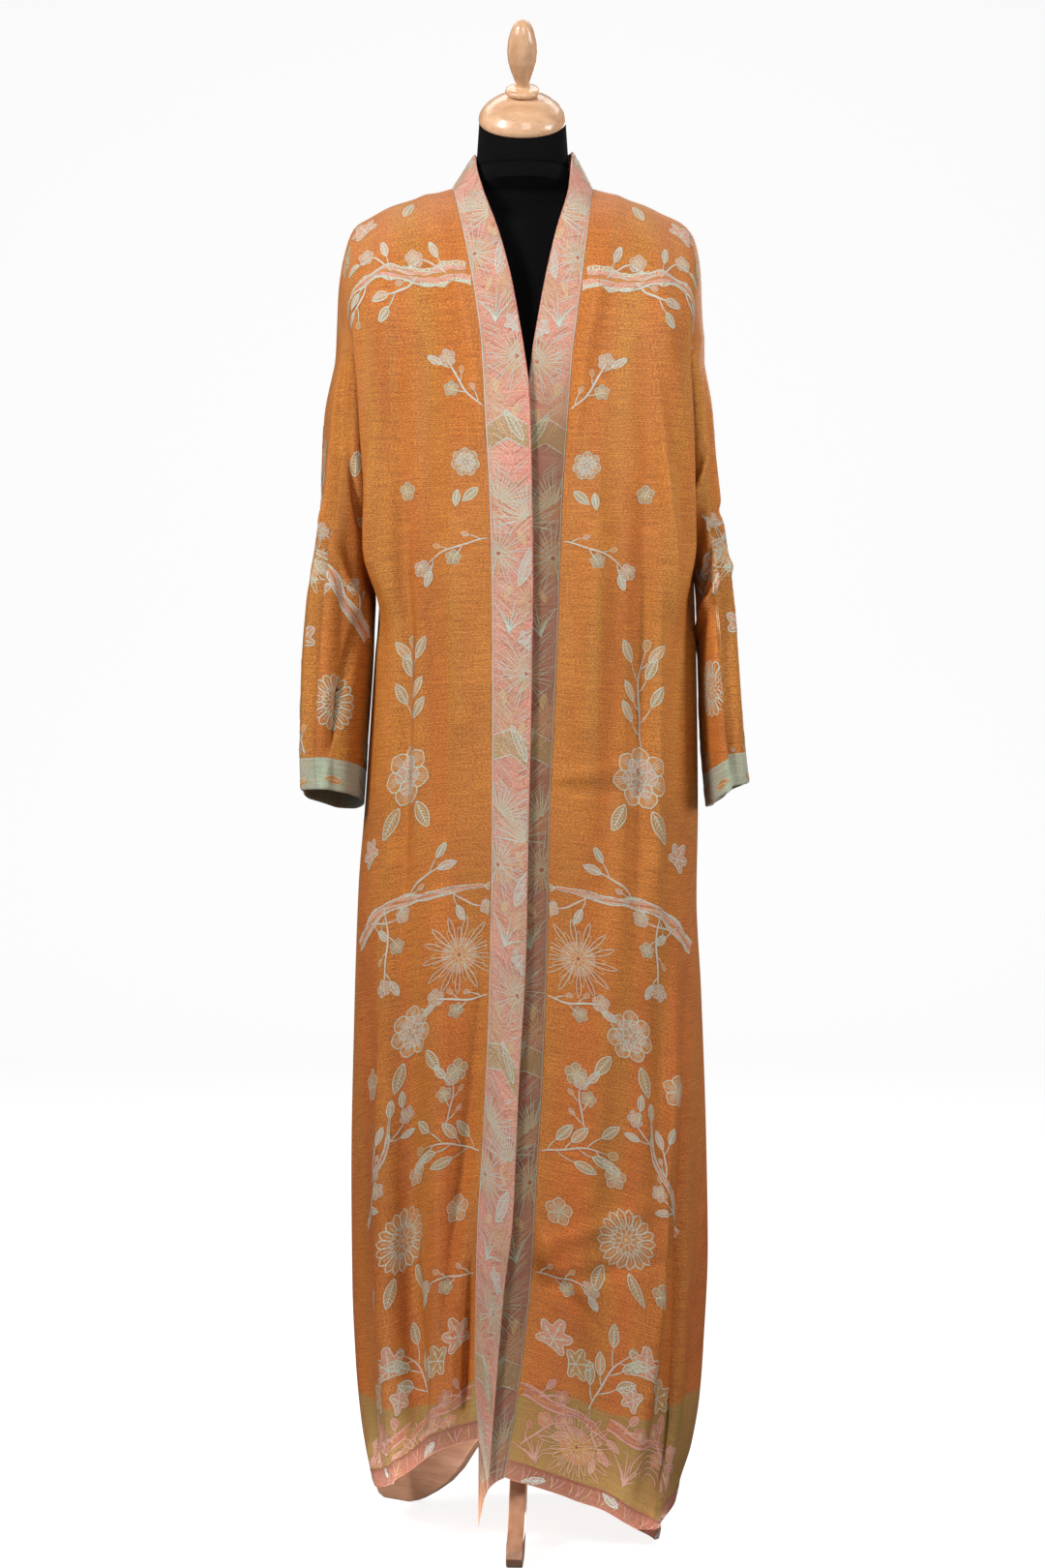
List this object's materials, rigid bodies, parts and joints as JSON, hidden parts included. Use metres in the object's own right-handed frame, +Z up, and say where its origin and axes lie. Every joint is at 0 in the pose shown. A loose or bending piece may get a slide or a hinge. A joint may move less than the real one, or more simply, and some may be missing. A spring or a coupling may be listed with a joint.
{
  "type": "kimono robe on a dress form",
  "caption": "Long open-front robe with dropped straight sleeves, contrast cuffs and one band round front and neck, hung on a limbless torso form on a wooden tripod stand",
  "frame": {"origin": "middle of the footprint on the floor, below the robe and its stand", "axes": "+Z up; the robe opens towards -Y; the wearer's left is at +X"},
  "size_m": [0.4966, 0.3276, 1.6641],
  "materials": {
    "robe_cloth": "two-colour jacquard with a soft sheen",
    "band_cloth": "patterned jacquard, matt to soft sheen",
    "cuff_cloth": "reverse side of the jacquard",
    "black_jersey": "matt knitted cover",
    "beech": "clear varnish"
  },
  "bodies": {
    "root": {"front_right": "robe_cloth", "front_left": "robe_cloth", "back": "robe_cloth", "sleeve_right": "robe_cloth", "sleeve_left": "robe_cloth", "cuff_right": "cuff_cloth", "cuff_left": "cuff_cloth", "front_band": "band_cloth", "hem_band": "band_cloth", "form_torso": "black_jersey", "neck_cap": "beech", "finial": "beech", "stand_column": "beech", "stand_leg_front": "beech", "stand_leg_left": "beech", "stand_leg_right": "beech"}
  },
  "joints": []
}
